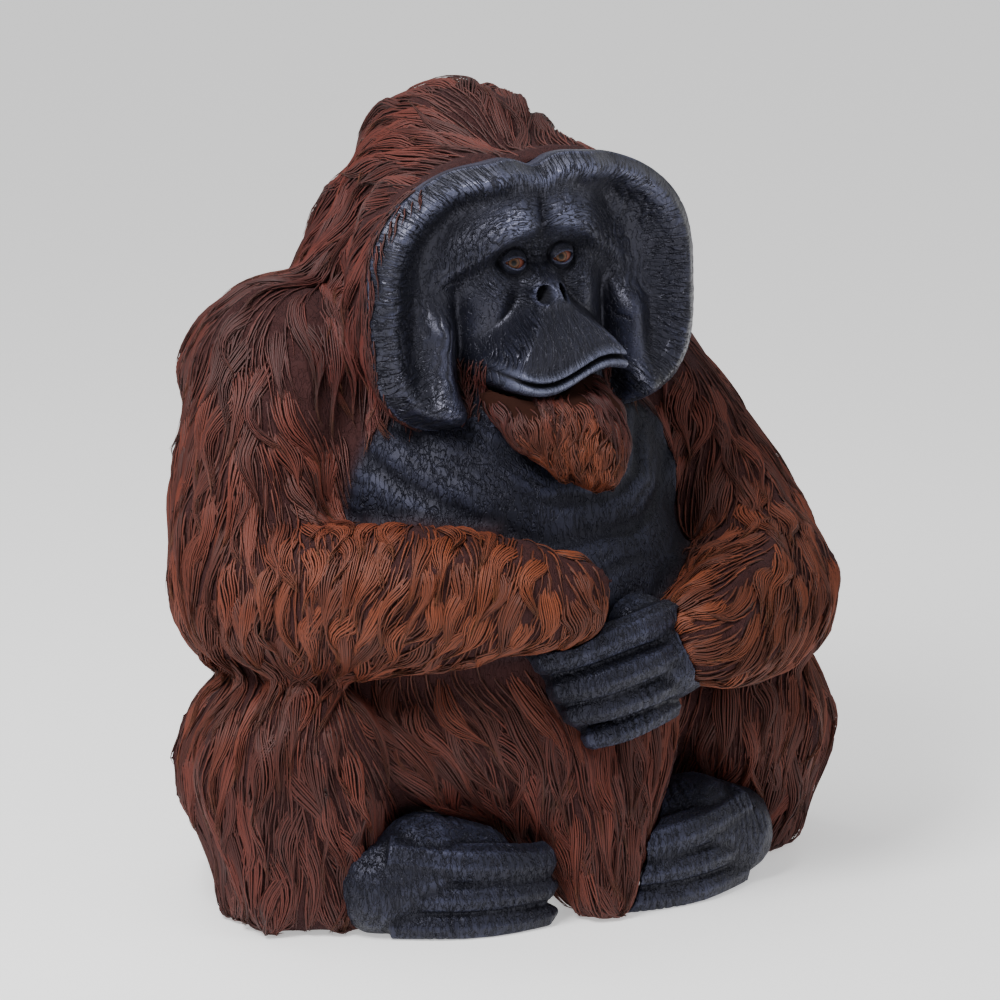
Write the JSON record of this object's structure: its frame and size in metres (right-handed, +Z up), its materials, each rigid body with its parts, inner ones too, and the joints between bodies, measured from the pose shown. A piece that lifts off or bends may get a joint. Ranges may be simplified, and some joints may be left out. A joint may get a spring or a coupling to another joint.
{
  "type": "orangutan statue",
  "caption": "Life-size painted cast figure of a seated adult male orangutan with cheek flanges, beard, carved relief coat, forearms crossed over its lap and feet drawn in.",
  "frame": {"origin": "middle of the figure's bounding box in plan, on the floor it sits on", "axes": "+Z up, -Y the way the figure faces, +X its left side; metres"},
  "size_m": [0.8136, 0.5806, 0.8833],
  "materials": {
    "coat_head": "satin paint, dry-brushed maroon",
    "skin": "satin blue-black paint, dry-brushed grey",
    "eyes": "clear gloss over painted iris",
    "coat_ginger": "satin paint, dry-brushed ginger",
    "coat_shoulder": "satin paint, dry-brushed rust",
    "coat_body": "satin paint, dry-brushed dark rust",
    "coat_arm": "satin paint, dry-brushed rust",
    "coat_forearm": "satin paint, dry-brushed orange"
  },
  "bodies": {
    "root": {"crown": "coat_head", "nape": "coat_head", "mane_right": "coat_head", "mane_left": "coat_head", "flange_right": "skin", "flange_left": "skin", "brow": "skin", "nose": "skin", "muzzle": "skin", "lower_lip": "skin", "eye_right": "eyes", "eye_left": "eyes", "beard": "coat_ginger", "throat": "skin", "belly": "skin", "shoulders": "coat_shoulder", "lower_back": "coat_body", "rump": "coat_body", "lap": "coat_body", "upper_arm_right": "coat_arm", "upper_arm_left": "coat_arm", "forearm_right": "coat_forearm", "forearm_left": "coat_forearm", "hand_right": "skin", "hand_left": "skin", "finger_left_1": "skin", "finger_left_2": "skin", "finger_left_3": "skin", "finger_left_4": "skin", "knee_right": "coat_body", "knee_left": "coat_body", "thigh_right": "coat_body", "thigh_left": "coat_body", "foot_right": "skin", "foot_left": "skin", "toe_right_1": "skin", "toe_right_2": "skin", "toe_right_3": "skin", "toe_left_1": "skin", "toe_left_2": "skin", "toe_left_3": "skin"}
  },
  "joints": []
}
